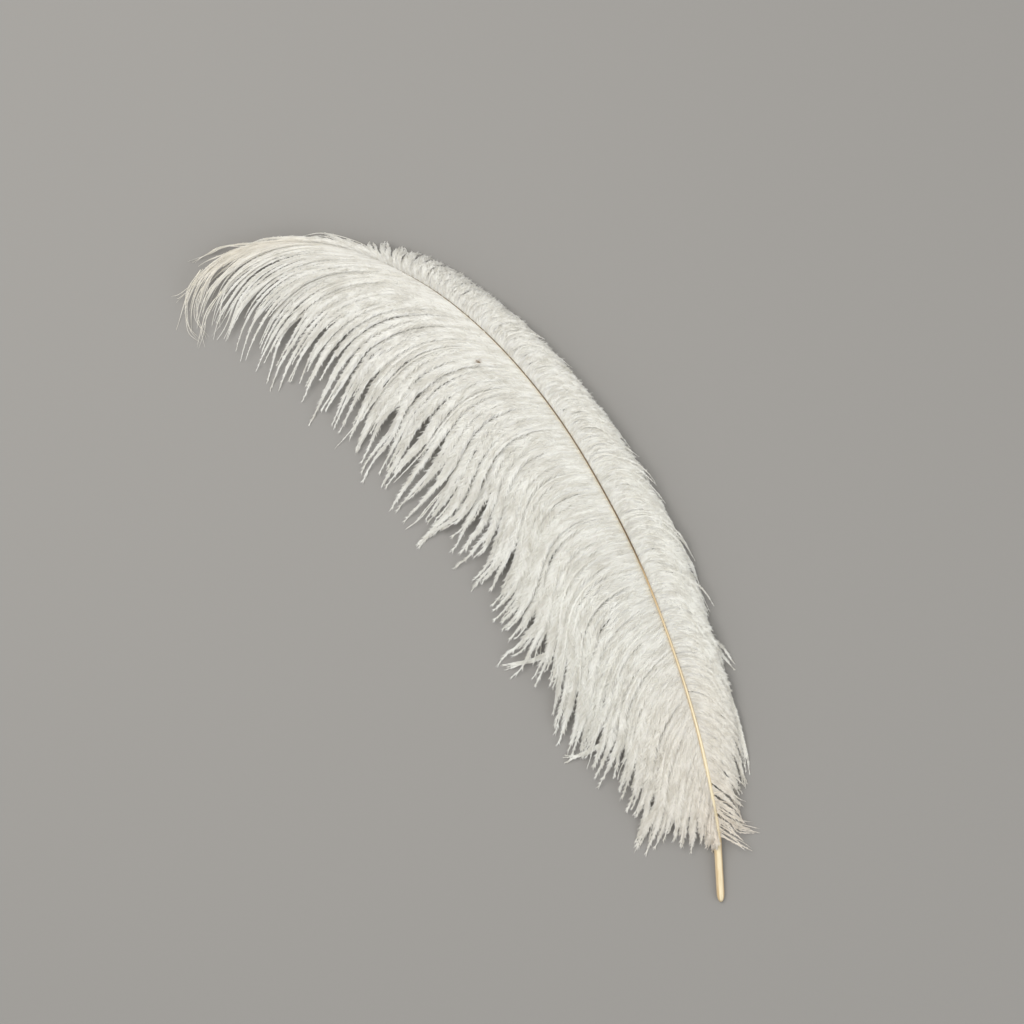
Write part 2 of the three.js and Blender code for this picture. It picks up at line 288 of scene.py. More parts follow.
def vary(lock, use):
    """The frame's own number from -1 to 1 for one lock and one use."""
    wave = np.sin(lock * 12.9898 + use * 78.233) * 43758.5453
    return 2 * (wave - np.floor(wave)) - 1


def walk(start, length, headings):
    """Points of plane paths that start at start and follow rows of headings, in degrees, in even steps."""
    angle = np.radians(headings)
    stride = (length / headings.shape[-1])[..., None, None]
    points = np.cumsum(np.stack([np.cos(angle), np.sin(angle)], axis=-1) * stride, axis=-2)
    return np.concatenate([start[..., None, :], start[..., None, :] + points], axis=-2)


def shaft_heading(place):
    return along(SHAFT["at"], SHAFT["heading"], place)


def shaft_height(place):
    return along(RISE["at"], RISE["height"], place)


def shaft_radius(place):
    return along(GIRTH["at"], GIRTH["radius"], place)


MIDS = (np.arange(SHAFT_STEPS) + 0.5) / SHAFT_STEPS
SHAFT_PLAN = walk(np.array(VANE_BASE, float), np.array(float(VANE_LENGTH)), shaft_heading(MIDS))


def on_shaft(place):
    """Plan points of the shaft at places from 0 to 1."""
    exact = np.clip(place, 0, 1) * SHAFT_STEPS
    k = np.minimum(exact.astype(int), SHAFT_STEPS - 1)
    share = (exact - k)[..., None]
    return SHAFT_PLAN[k] * (1 - share) + SHAFT_PLAN[k + 1] * share


def rows_of(vane, keys, place):
    """Several rows of a vane's table, read at places from 0 to 1."""
    return [along(vane["at"], vane[key], place) for key in keys]


def pick(table, index):
    """The same named arrays with only the entries at index."""
    return {key: values[index] for key, values in table.items()}


def barb_paths(vane, lines, share, share_at_sag, times_length=1):
    """Plan points of many lines at once, one row for each, that end at a share of a barb's full length."""
    t = share[:, None] * (np.arange(BARB_STEPS) + 0.5) / BARB_STEPS
    place, own_end = lines["place"], lines["end"]
    start, end, length = rows_of(vane, ("start", "end", "length"), place)
    start, end = (start + lines["start"])[:, None], (end + own_end)[:, None]
    if vane["side"] > 0:
        sag, turn = rows_of(vane, ("sag", "turn"), place)
        sag = (sag + own_end * share_at_sag)[:, None]
        sagging, swinging = smoothstep(t, 0, turn[:, None]), smoothstep(t, SAG_END, 1)
        turned = start + (sag - start) * sagging + (end - sag) * swinging
    else:
        bend = rows_of(vane, ["bend"], place)[0][:, None]
        turned = start + (end - start) * (1 - (1 - t).clip(0) ** bend)
    headings = shaft_heading(place)[:, None] + vane["side"] * turned
    return walk(on_shaft(place), length * times_length * share, headings)


def in_plane(plan):
    """Unit vectors to the left of many lines' own directions."""
    tangent = np.gradient(plan, axis=1)
    tangent /= np.linalg.norm(tangent, axis=-1, keepdims=True)
    return np.stack([-tangent[..., 1], tangent[..., 0]], axis=-1)


def make_locks(vane):
    """The frame's own locks: where they leave the shaft and how they differ from the vane's table."""
    count = vane["locks"]
    name = vane["side"] * (np.arange(count) + 1)
    return dict(
        place=(np.arange(count) + 0.5 + STRAY_PLACE * vary(name, 1)) / count,
        start=STRAY_START * vary(name, 2),
        end=vane["stray_end"] * vary(name, 3),
        length=1 + vane["stray_length"] * vary(name, 4),
        lift=LOCK_LIFT * vary(name, 5),
        pull=LOCK_PULL * (1 + LOCK_PULL_DIFFERS * vary(name, 6)),
    )


def make_bands(vane, locks, rng):
    """Bands, three to a lock: their lock, their place in it and how they differ from the vane's table."""
    uneven = vane["unevenness"]
    lock = np.repeat(np.arange(vane["locks"]), BANDS_PER_LOCK)
    nth = np.tile(np.arange(BANDS_PER_LOCK), vane["locks"])
    count = len(lock)
    place = (np.arange(count) + 0.5) / count
    start = uneven * rng.normal(0, BAND_START, count)
    end = uneven * (LIKE_LOCK * locks["end"][lock] + rng.normal(0, BAND_END, count))
    shorter = BAND_SHORTER + BAND_SHORTER_AT_FOOT * (1 - smoothstep(place, *ABOVE_FOOT))
    share = REACH * locks["length"][lock] * (1 - shorter * rng.random(count))
    lift = vane["lift"] + uneven * (locks["lift"][lock] + rng.normal(0, BAND_LIFT, count))
    in_lock = (nth + 0.5) / BANDS_PER_LOCK - 0.5
    return dict(lock=lock, in_lock=in_lock, place=place, start=start, end=end, share=share, lift=lift)


def grow_barbs(vane, bands, rng):
    """The barbs of all bands: their place, share of the table's length and own directions.

    in_band is where a barb lies in its band, from -0.5 nearest the quill to 0.5. Loose ones lie among the
    others and go their own way.
    """
    count = len(bands["place"])
    regular = count * BARBS_PER_BAND
    band = np.repeat(np.arange(count), BARBS_PER_BAND)
    nth = np.tile(np.arange(BARBS_PER_BAND), count)
    in_band = (nth + rng.uniform(*BARB_ROOM, regular)) / BARBS_PER_BAND - 0.5
    fill, loosened = rows_of(vane, ("fill", "loose"), bands["place"][band])
    also = rng.random(regular) < loosened
    kept = np.concatenate([rng.random(regular) < fill, np.ones(also.sum(), bool)])
    loose = np.concatenate([np.zeros(regular, bool), np.ones(also.sum(), bool)])[kept]
    band = np.concatenate([band, band[also]])[kept]
    in_band = np.concatenate([in_band, in_band[also]])[kept]
    place = np.clip(bands["place"][band] + in_band / count, 0, 1)

    count = len(band)
    ruffled = 1 - smoothstep(place, *RUFFLED_FOOT)
    share = 1 - OUTER_SHORTER * (2 * np.abs(in_band)) ** 2
    share = share - (WORN + WORN_AT_FOOT * ruffled) * rng.random(count) ** 2
    root_frizz = ROOT_FRIZZ + ROOT_FRIZZ_AT_FOOT * ruffled
    frizz = np.where(loose, vane["frizz"], FRIZZ) + FRIZZ_AT_TIP * smoothstep(place, *DROOPING_TIP)
    frizz = frizz + FRIZZ_AT_FOOT * ruffled
    return dict(
        band=band, in_band=in_band, loose=loose, place=place, ruffled=ruffled,
        share=share * bands["share"][band],
        start=bands["start"][band] + rng.normal(0, 1, count) * root_frizz,
        end=bands["end"][band] + rng.normal(0, 1, count) * frizz,
    )


def draw_together(vane, locks, bands, barbs, gone, rng):
    """Plan points of barbs that leave the shaft evenly and draw together further out.

    Bands draw towards their lock, and barbs towards the middle of their band, which ends in a point.
    """
    share = barbs["share"]
    own_band = pick(bands, barbs["band"])
    own_lock = pick(locks, own_band["lock"])
    plan = barb_paths(vane, barbs, share, BARB_AT_SAG)
    of_band = barb_paths(vane, own_band, share, BAND_AT_SAG)
    of_lock = barb_paths(vane, own_lock, share / own_lock["length"], LOCK_AT_SAG, own_lock["length"])
    at_tip = smoothstep(gone, *PULL_AT_TIP)
    of_band += (of_lock - of_band) * (own_lock["pull"][:, None] * at_tip)[..., None]
    tightness = rng.uniform(*TIGHTNESS, len(bands["place"]))[barbs["band"]]
    tightness = np.where(barbs["loose"], LOOSE_TIGHTNESS, tightness)[:, None]
    pull = BAND_PULL + (BAND_PULL_AT_TIP - BAND_PULL) * at_tip
    pull = pull * smoothstep(gone, *PULL_GROWS) * tightness
    pull = pull * (1 - LESS_PULL_AT_FOOT * barbs["ruffled"])[:, None]
    return plan + (of_band - plan) * pull[..., None]


def wave_barbs(vane, bands, barbs, gone, rng):
    """How far slow waves carry barbs aside and up. Those aside are partly shared by a band."""
    def wave(number, reached, phase):
        return np.sin(FULL_TURN * number * reached + phase)

    band, count = barbs["band"], len(barbs["place"])
    phase = rng.uniform(0, FULL_TURN, (2, count, 1))
    number = rng.uniform(*OWN_WAVES, (count, 1))
    band_phase = rng.uniform(0, FULL_TURN, (len(bands["place"]), 1))
    band_number = rng.uniform(*BAND_WAVES, (len(bands["place"]), 1))
    aside = OWN_WAVE * wave(number, gone, phase[0])
    aside += BAND_WAVE * vane["unevenness"] * wave(band_number[band], gone, band_phase[band])
    return aside * smoothstep(gone, *WAVES_GROW), WAVE_HEIGHT * wave(number, gone.clip(0, 1), phase[1])


def part_barbs(vane, place, gone, aside):
    """Adds to aside what the partings open, and says how far barbs dip there."""
    dip = np.zeros_like(gone)
    for middle, low, high, width in vane["partings"]:
        away = (place - middle)[:, None]
        half_way = (low + high) / 2
        opened = smoothstep(gone, low, half_way) * (1 - smoothstep(gone, half_way, high))
        opened = opened * np.exp(-((away / PARTING_REACH) ** 2))
        aside = aside - vane["side"] * np.sign(away) * opened * width / 2
        dip += PARTING_DIP * opened
    return aside, dip


def raise_barbs(vane, bands, barbs, gone, wave, dip):
    """Heights of the barbs: up from the shaft a little, then down to the table."""
    place, in_band = barbs["place"], barbs["in_band"]
    own_band = pick(bands, barbs["band"])
    root = shaft_height(place)[:, None]
    arch = np.sin(math.pi * gone)
    height = TIP_HEIGHT + (root - TIP_HEIGHT) * (1 - gone**FALL) + own_band["lift"][:, None] * arch
    slope = vane["lock_slope"] * (own_band["in_lock"] + in_band / BANDS_PER_LOCK) + BAND_SLOPE * in_band
    slope = (slope + vane["band_arch"] * 4 * in_band**2)[:, None] * smoothstep(gone, *SLOPE_GROWS)
    slope = slope * (1 - SLOPE_LOST * smoothstep(gone, *SLOPE_FADES))
    height = height - slope - dip + wave * arch
    height = height + np.where(barbs["loose"], LOOSE_LIFT, 0)[:, None] * arch
    lower = ROOT_LOWER * shaft_radius(place)
    height = height - lower[:, None] * (1 - smoothstep(gone, *ROOT_RISES))
    return np.maximum(height, LOWEST + BARB_ABOVE_LOWEST)


def valleys_beside(vane, bands, barbs, rng):
    """How deep the valleys to the left and right of each barb are, from 0 to 1. Only outer barbs have one."""
    # A valley follows each band, as seen from the quill, and none lies before the first. Barbs of the right
    # vane have the quill on their right.
    deep = np.concatenate([[0], smoothstep(rng.random(len(bands["place"])), *VALLEY_DEPTHS)])
    left, right = [deep[:-1], deep[1:]][::vane["side"]]
    to_right = vane["side"] * barbs["in_band"]
    return np.stack([
        (to_right < -OUTER_BARBS) * left[barbs["band"]],
        (to_right > OUTER_BARBS) * right[barbs["band"]],
    ], axis=1)


def make_barbs(vane, rng):
    """The middle lines of a vane's barbs and strays, and what their webs and barbules depend on."""
    locks = make_locks(vane)
    bands = make_bands(vane, locks, rng)
    barbs = grow_barbs(vane, bands, rng)
    place, loose = barbs["place"], barbs["loose"]
    gone = barbs["share"][:, None] * np.linspace(0, 1, BARB_STEPS + 1)
    plan = draw_together(vane, locks, bands, barbs, gone, rng)
    aside, wave = wave_barbs(vane, bands, barbs, gone, rng)
    aside, dip = part_barbs(vane, place, gone, aside)
    plan = plan + in_plane(plan) * aside[..., None]
    gone = gone.clip(0, 1)
    height = raise_barbs(vane, bands, barbs, gone, wave, dip)
    own_roll = rng.normal(0, OWN_ROLL, len(place))
    band_roll = rng.normal(0, BAND_ROLL, len(bands["place"]))[barbs["band"]]
    roll = vane["side"] * SHINGLE + (own_roll + vane["unevenness"] * band_roll)[:, None]
    grown = dict(
        place=place,
        points=np.concatenate([plan, height[..., None]], axis=-1),
        roll=np.radians(roll) * np.sin(math.pi * gone),
        fluff=rows_of(vane, ["fluff"], place)[0] * np.where(loose, LOOSE_FLUFF, 1),
        web_at_root=np.where(loose, LOOSE_WEB, 1),
        valleys=valleys_beside(vane, bands, barbs, rng),
    )
    strays = make_strays(vane, rng)
    return {key: np.concatenate([grown[key], strays[key]]) for key in grown}


def make_strays(vane, rng):
    """The strands that have come loose, in the same form as the vane's other barbs."""
    t = np.linspace(0, 1, BARB_STEPS + 1)
    height = STRAY_HEIGHT + (TIP_HEIGHT - STRAY_HEIGHT) * t**STRAY_FALL
    places, lines, fluffs = [], [], []
    for place, number, fluff, passed in vane["strays"]:
        passed = np.array(passed, float)
        at = np.concatenate([[0], np.cumsum(np.linalg.norm(np.diff(passed, axis=0), axis=1))])
        growing = np.linspace(*SPREAD_GROWS, len(passed))[:, None]
        for _ in range(number):
            spread = rng.normal(0, STRAY_SPREAD, passed.shape) * growing
            through = passed + (spread if number > 1 else 0)
            x, y = (along(at / at[-1], through[:, axis], t) for axis in (0, 1))
            lines.append(np.column_stack([x, y, height]))
            places.append(place)
            fluffs.append(fluff)
    fluffs = np.array(fluffs)
    return dict(
        place=np.array(places),
        points=np.array(lines),
        roll=np.zeros((len(lines), len(t))),
        fluff=fluffs,
        web_at_root=fluffs / FULL_FLUFF,
        valleys=np.zeros((len(lines), 2)),
    )


def frames_of(points, roll):
    """Unit vectors along, across and up from each point of many lines."""
    forward = np.gradient(points, axis=1)
    forward /= np.linalg.norm(forward, axis=-1, keepdims=True)
    across = np.cross(forward, [0.0, 0.0, 1.0])
    across /= np.linalg.norm(across, axis=-1, keepdims=True)
    up = np.cross(across, forward)
    c, s = np.cos(roll)[..., None], np.sin(roll)[..., None]
    return forward, across * c - up * s, up * c + across * s


def strips(lines, places, shares):
    """Joins neighbouring lines of points into strips. Gives corners, triangles and map coordinates."""
    corners = np.stack(lines, axis=2)
    shape = corners.shape[:3]
    index = np.arange(math.prod(shape)).reshape(shape)
    a, b, c, d = index[:, :-1, :-1], index[:, :-1, 1:], index[:, 1:, 1:], index[:, 1:, :-1]
    halves = [np.stack(half, -1).reshape(-1, 3) for half in ([a, b, c], [a, c, d])]
    sideways = np.linspace(-MAP_HALF_WIDTH, MAP_HALF_WIDTH, len(lines))
    u = np.broadcast_to(shares[None, :, None], shape)
    v = np.broadcast_to(places[:, None, None] + sideways, shape)
    return corners.reshape(-1, 3), np.concatenate(halves), np.stack([u, v], axis=-1).reshape(-1, 2)


def barb_ribbons(barbs):
    """The barbs themselves: flat ribbons that taper to a hair."""
    points = barbs["points"]
    t = np.linspace(0, 1, points.shape[1])
    _, across, _ = frames_of(points, barbs["roll"])
    aside = across * (BARB_WIDTH / 2 * (1 - BARB_TAPER * t))[None, :, None]
    on_map = MAP_SPLIT + MAP_MARGIN + (1 - MAP_MARGIN - MAP_SPLIT) * t
    return strips([points - aside, points + aside], barbs["place"], on_map)


def webs(barbs, rng):
    """The mat that the barbules nearest a barb make: two thin slopes down from it, with uneven edges."""
    points = barbs["points"]
    t = np.linspace(0, 1, points.shape[1])
    _, across, up = frames_of(points, barbs["roll"])
    width = WEB_AT_SHAFT + (WEB_AT_ROOT - WEB_AT_SHAFT) * smoothstep(t, *WEB_NEAR_SHAFT)
    width = width + (WEB_WIDTH - WEB_AT_ROOT) * smoothstep(t, *WEB_GROWS)
    width = width * (1 - WEB_TAPER * smoothstep(t, *WEB_NARROWS))
    share_outside = (barbs["fluff"] / FULL_FLUFF).clip(LEAST_WEB, 1)[:, None]
    share_at_root = barbs["web_at_root"][:, None]
    width = width * (share_at_root + (share_outside - share_at_root) * smoothstep(t, *WEB_FLUFF_GROWS))
    width = width * rng.uniform(*WEB_UNEVEN, (2,) + points.shape[:2])
    in_valley = barbs["valleys"].T[..., None] * smoothstep(t, *VALLEY)
    width = width * (1 + (VALLEY_WEB - 1) * in_valley)
    drop = width * (WEB_DROP + VALLEY_DROP * in_valley)
    below = points - up * WEB_BELOW
    left = below - across * width[0][..., None] - up * drop[0][..., None]
    right = below + across * width[1][..., None] - up * drop[1][..., None]
    corners, triangles, uv = strips([left, below, right], barbs["place"], MAP_SPLIT * t)
    corners[:, 2] = np.maximum(corners[:, 2], LOWEST)
    return corners, triangles, uv


def barbules(barbs, rng):
    """The barbules: slim triangles that grow forwards from both edges of each barb, in small tufts."""
    points, place = barbs["points"], barbs["place"]
    steps = points.shape[1] - 1
    lengths = np.linalg.norm(np.diff(points, axis=1), axis=-1).sum(axis=1)

    # Tufts: the barb that each stands on, how far along it, on which edge, and its direction and size
    thinning = 1 - THINNER * smoothstep(place, *THINNER_FROM)
    tufts_on = np.round(2 * thinning * lengths / TUFT_PITCH).astype(int)
    barb = np.repeat(np.arange(len(place)), tufts_on)
    tufts = len(barb)
    middle = rng.random(tufts) * (1 - BARE_END * smoothstep(place, *BARE_END_FROM))[barb]
    turn = rng.normal(0, TUFT_TURN, tufts)
    rise = BARBULE_RISE + rng.normal(0, TUFT_TILT, tufts)
    size = rng.uniform(*TUFT_SIZE, tufts)
    is_right = (rng.random(tufts) < 0.5).astype(int)
    edge = 2.0 * is_right - 1
    in_valley = barbs["valleys"][barb, is_right] * smoothstep(middle, *VALLEY)
    rise, size = rise - VALLEY_DROOP * in_valley, size * (1 - VALLEY_SHORTER * in_valley)

    # Their barbules, and where on the barb's line each one stands
    tuft = np.repeat(np.arange(tufts), PER_TUFT)
    nth = np.tile(np.arange(PER_TUFT), tufts)
    barb, edge, count = barb[tuft], edge[tuft], len(tuft)
    offset = ((nth + rng.random(count)) / PER_TUFT - 0.5) * TUFT_PITCH
    t = np.clip(middle[tuft] + offset / lengths[barb], 0, LAST_PLACE)
    k = (t * steps).astype(int)
    share = (t * steps - k)[:, None]

    def at(values):
        """Values given for the points of the barbs' lines, read where the barbules stand."""
        return values[barb, k] * (1 - share) + values[barb, k + 1] * share

    # Their direction: forwards and out from the barb's edge
    forward, across, up = (at(axis) for axis in frames_of(points, barbs["roll"]))
    base = at(points)
    angle = ROOT_ANGLE + (OUTER_ANGLE - ROOT_ANGLE) * smoothstep(t, *ANGLE_GROWS)
    angle = angle - TIP_ANGLE_LOST * smoothstep(t, *ANGLE_SHRINKS)
    angle = angle * (1 - CLOSER * smoothstep(place[barb], *CLOSER_FROM)) + turn[tuft]
    angle = np.radians(np.maximum(angle + rng.normal(0, OWN_TURN, count), LEAST_ANGLE))
    tilt = np.radians(rise[tuft] + rng.normal(0, OWN_TILT, count))
    out = across * (edge * np.cos(tilt))[:, None] + up * np.sin(tilt)[:, None]
    direction = forward * np.cos(angle)[:, None] + out * np.sin(angle)[:, None]

    # Their length, and where they end
    pointed = POINTED + POINTED_MORE * smoothstep(place[barb], *MORE_POINTED)
    reach = barbs["fluff"][barb] * size[tuft] * rng.uniform(*OWN_SIZE, count)
    reach = reach * (ROOT_FLUFF + (1 - ROOT_FLUFF) * smoothstep(t, *FLUFF_GROWS))
    reach = reach * (1 - pointed * smoothstep(t, POINT_BEGINS, 1))
    tip = base + direction * reach[:, None] - forward * (offset * TUFT_CLOSE)[:, None]
    half = forward * (BARBULE_WIDTH / 2 / np.sin(angle).clip(LEAST_SINE))[:, None]
    corners = np.stack([base - half, base + half, tip], axis=1)
    corners[..., 2] = np.maximum(corners[..., 2], LOWEST)

    u = MAP_SPLIT * (t[:, None] + np.array([0.0, 1.0, 0.5]) * BARBULE_ON_MAP)
    v = place[barb][:, None] + np.array([0.0, 0.0, MAP_HALF_WIDTH]) * edge[:, None]
    triangles = np.arange(count * 3).reshape(-1, 3)
    return corners.reshape(-1, 3), triangles, np.stack([u, v], axis=-1).reshape(-1, 2)


def make_mesh(name, parts, material):
    """One object of several lots of corners (in millimetres), triangles and map coordinates."""
    corners = np.concatenate([p[0] for p in parts]) * MM
    shifts = np.cumsum([0] + [len(p[0]) for p in parts[:-1]])
    triangles = np.concatenate([p[1] + shift for p, shift in zip(parts, shifts)])
    uv = np.concatenate([p[2] for p in parts])
    mesh = bpy.data.meshes.new(name)
    mesh.vertices.add(len(corners))
    mesh.vertices.foreach_set("co", corners.astype(np.float32).ravel())
    mesh.loops.add(triangles.size)
    mesh.loops.foreach_set("vertex_index", triangles.astype(np.int32).ravel())
    mesh.polygons.add(len(triangles))
    mesh.polygons.foreach_set("loop_start", np.arange(0, triangles.size, 3, dtype=np.int32))
    mesh.polygons.foreach_set("loop_total", np.full(len(triangles), 3, dtype=np.int32))
    layer = mesh.uv_layers.new(name="OFBake")
    layer.data.foreach_set("uv", uv[triangles.ravel()].astype(np.float32).ravel())
    mesh.update(calc_edges=True)
    mesh.materials.append(material)
    piece = bpy.data.objects.new(name, mesh)
    bpy.context.collection.objects.link(piece)
    return piece


def new_material(name):
    """An empty material, with its nodes and links."""
    material = bpy.data.materials.new(name)
    material.use_nodes = True
    nodes, links = material.node_tree.nodes, material.node_tree.links
    nodes.clear()
    return material, nodes, links


def color_ramp(nodes, links, value, stops):
    """A ramp over a value, with stops given as (position, (red, green, blue))."""
    ramp = nodes.new("ShaderNodeValToRGB")
    ramp.color_ramp.interpolation = "EASE"
    elements = ramp.color_ramp.elements
    while len(elements) < len(stops):
        elements.new(0.5)
    for element, (position, color) in zip(elements, stops):
        element.position = position
        element.color = (*color, 1)
    links.new(value, ramp.inputs["Fac"])
    return ramp.outputs["Color"]


def map_place(nodes, links):
    """The map's own point, and its two numbers."""
    uv = nodes.new("ShaderNodeUVMap")
    uv.uv_map = "OFBake"
    split = nodes.new("ShaderNodeSeparateXYZ")
    links.new(uv.outputs["UV"], split.inputs["Vector"])
    return uv.outputs["UV"], split.outputs["X"], split.outputs["Y"]


def mixed(nodes, links, first, second, factor=None, blend="MIX"):
    """Two colours, mixed by a value or multiplied."""
    mix = nodes.new("ShaderNodeMix")
    mix.data_type = "RGBA"
    mix.blend_type = blend
    if factor is None:
        mix.inputs["Factor"].default_value = 1.0
    else:
        links.new(factor, mix.inputs["Factor"])
    links.new(first, mix.inputs["A"])
    links.new(second, mix.inputs["B"])
    return mix.outputs["Result"]


def scaled(nodes, links, point, scale):
    """The map's point with each of its numbers times its own scale."""
    multiply = nodes.new("ShaderNodeVectorMath")
    multiply.operation = "MULTIPLY"
    links.new(point, multiply.inputs[0])
    multiply.inputs[1].default_value = (*scale, 1)
    return multiply.outputs["Vector"]


def noise(nodes, links, point, scale, detail):
    """A soft pattern on the map, stretched by scale."""
    texture = nodes.new("ShaderNodeTexNoise")
    texture.noise_dimensions = "2D"
    texture.inputs["Scale"].default_value = 1.0
    texture.inputs["Detail"].default_value = detail
    links.new(scaled(nodes, links, point, scale), texture.inputs["Vector"])
    return texture.outputs["Fac"]


def speck_color(nodes, links, point, speck):
    """Brown around one place on the map and white elsewhere."""
    away = nodes.new("ShaderNodeVectorMath")
    away.operation = "DISTANCE"
    links.new(scaled(nodes, links, point, SPECK_SCALE), away.inputs[0])
    away.inputs[1].default_value = (speck[0] * SPECK_SCALE[0], speck[1] * SPECK_SCALE[1], 0)
    stops = [(0.0, (0.36, 0.26, 0.16)), (1.0, (1.0, 1.0, 1.0))]
    return color_ramp(nodes, links, away.outputs["Value"], stops)


def barb_material(name, speck=None):
    """Matt white, warmer at the foot, at the tip and next to the shaft, and letting some light through."""
    material, nodes, links = new_material(name)
    point, out_along, up_along = map_place(nodes, links)
    foot = color_ramp(nodes, links, up_along, [
        (0.0, (0.945, 0.912, 0.86)), (0.14, (0.952, 0.94, 0.906)), (0.3, (0.955, 0.955, 0.932)),
        (0.9, (0.95, 0.947, 0.925)), (1.0, (0.94, 0.92, 0.87)),
    ])
    root = color_ramp(nodes, links, out_along, [
        (0.0, (0.98, 0.95, 0.88)), (0.02, (1.0, 1.0, 1.0)),
        (0.82, (1.0, 1.0, 1.0)), (0.86, (1.0, 0.985, 0.95)),
    ])
    color = mixed(nodes, links, foot, root, blend="MULTIPLY")
    # Streaks darker along the barbs: partly painted shade that stands for the barbs' tilt, partly tone that
    # differs at random.
    painted_shade_streaks = noise(nodes, links, point, (9, 420), 4)
    uneven = color_ramp(nodes, links, painted_shade_streaks, [(0.32, (0.88, 0.87, 0.845)), (0.62, (1.0, 1.0, 1.0))])
    color = mixed(nodes, links, color, uneven, blend="MULTIPLY")
    if speck:
        brown = speck_color(nodes, links, point, speck)
        color = mixed(nodes, links, color, brown, blend="MULTIPLY")
    diffuse = nodes.new("ShaderNodeBsdfDiffuse")
    through = nodes.new("ShaderNodeBsdfTranslucent")
    links.new(color, diffuse.inputs["Color"])
    links.new(color, through.inputs["Color"])
    both = nodes.new("ShaderNodeMixShader")
    both.inputs["Fac"].default_value = 0.5
    links.new(diffuse.outputs["BSDF"], both.inputs[1])
    links.new(through.outputs["BSDF"], both.inputs[2])
    output = nodes.new("ShaderNodeOutputMaterial")
    links.new(both.outputs["Shader"], output.inputs["Surface"])
    return material


def shaft_material():
    """Cream horn with fine lines along it. Its face turns tan and then brown, and a painted highlight keeps
    its left side cream.
    """
    material, nodes, links = new_material("shaft_keratin")
    point, up_along, across = map_place(nodes, links)
    face = color_ramp(nodes, links, up_along, [
        (0.0, (0.80, 0.70, 0.50)), (0.2, (0.84, 0.77, 0.58)), (0.34, (0.74, 0.63, 0.44)),
        (0.4, (0.56, 0.42, 0.25)), (0.45, (0.13, 0.092, 0.052)), (0.9, (0.13, 0.096, 0.06)),
        (1.0, (0.4, 0.34, 0.25)),
    ])
    # Painted highlight: the left flank, on the side the light comes from, stays cream.
    painted_lit_flank = color_ramp(nodes, links, up_along, [(0.0, (0.88, 0.82, 0.68)), (1.0, (0.78, 0.73, 0.62))])
    on_face = color_ramp(nodes, links, across, [(0.1, (0.0, 0.0, 0.0)), (0.24, (1.0, 1.0, 1.0))])
    color = mixed(nodes, links, painted_lit_flank, face, on_face)
    # Painted shade: both edges of the face are darker, the right one most, as on a rod lit from the left.
    painted_edge_shade = color_ramp(nodes, links, across, [
        (0.18, (0.78, 0.67, 0.52)), (0.4, (1.0, 1.0, 0.98)),
        (0.75, (1.0, 0.99, 0.96)), (1.0, (0.7, 0.58, 0.44)),
    ])
    color = mixed(nodes, links, color, painted_edge_shade, blend="MULTIPLY")
    lines = noise(nodes, links, point, (40, 16), 4)
    streaks = color_ramp(nodes, links, lines, [(0.3, (0.86, 0.80, 0.70)), (0.6, (1.0, 1.0, 1.0))])
    color = mixed(nodes, links, color, streaks, blend="MULTIPLY")
    bump = nodes.new("ShaderNodeBump")
    bump.inputs["Strength"].default_value = 0.25
    bump.inputs["Distance"].default_value = 0.0002
    links.new(lines, bump.inputs["Height"])
    surface = nodes.new("ShaderNodeBsdfPrincipled")
    links.new(color, surface.inputs["Base Color"])
    links.new(bump.outputs["Normal"], surface.inputs["Normal"])
    surface.inputs["Roughness"].default_value = 0.55
    output = nodes.new("ShaderNodeOutputMaterial")
    links.new(surface.outputs["BSDF"], output.inputs["Surface"])
    return material


def plain_material(name, color, roughness):
    """One colour, with a dull shine."""
    material, nodes, links = new_material(name)
    surface = nodes.new("ShaderNodeBsdfPrincipled")
    surface.inputs["Base Color"].default_value = (*color, 1)
    surface.inputs["Roughness"].default_value = roughness
    output = nodes.new("ShaderNodeOutputMaterial")
    links.new(surface.outputs["BSDF"], output.inputs["Surface"])
    return material


def shaft_line():
    """Points of the rod's axis from the quill's end to the tip, their radii and the groove's depth there."""
    down = math.radians(float(shaft_heading(0)) + QUILL_TURN + 180)
    share = np.linspace(1, 0, QUILL_RINGS, endpoint=False)
    reach = share[:, None] * QUILL_LENGTH * np.array([math.cos(down), math.sin(down)])
    quill_height = shaft_height(0.0) + (QUILL_TIP_HEIGHT - shaft_height(0.0)) * share
    quill = np.column_stack([np.array(VANE_BASE) + reach, quill_height])
    closing = ((share - QUILL_ROUND) / (1 - QUILL_ROUND)).clip(0)
    quill_radius = QUILL_RADIUS * np.sqrt(np.clip(1 - closing**2 * QUILL_CLOSED, QUILL_LEAST, 1))
    place = np.linspace(0, 1, VANE_RINGS)
    vane = np.column_stack([on_shaft(place), shaft_height(place)])
    radius = np.concatenate([quill_radius, shaft_radius(place)])
    grooved = GROOVE_DEPTH * np.concatenate([np.zeros(QUILL_RINGS), smoothstep(place, *GROOVE_BEGINS)])
    return np.concatenate([quill, vane]), radius, grooved


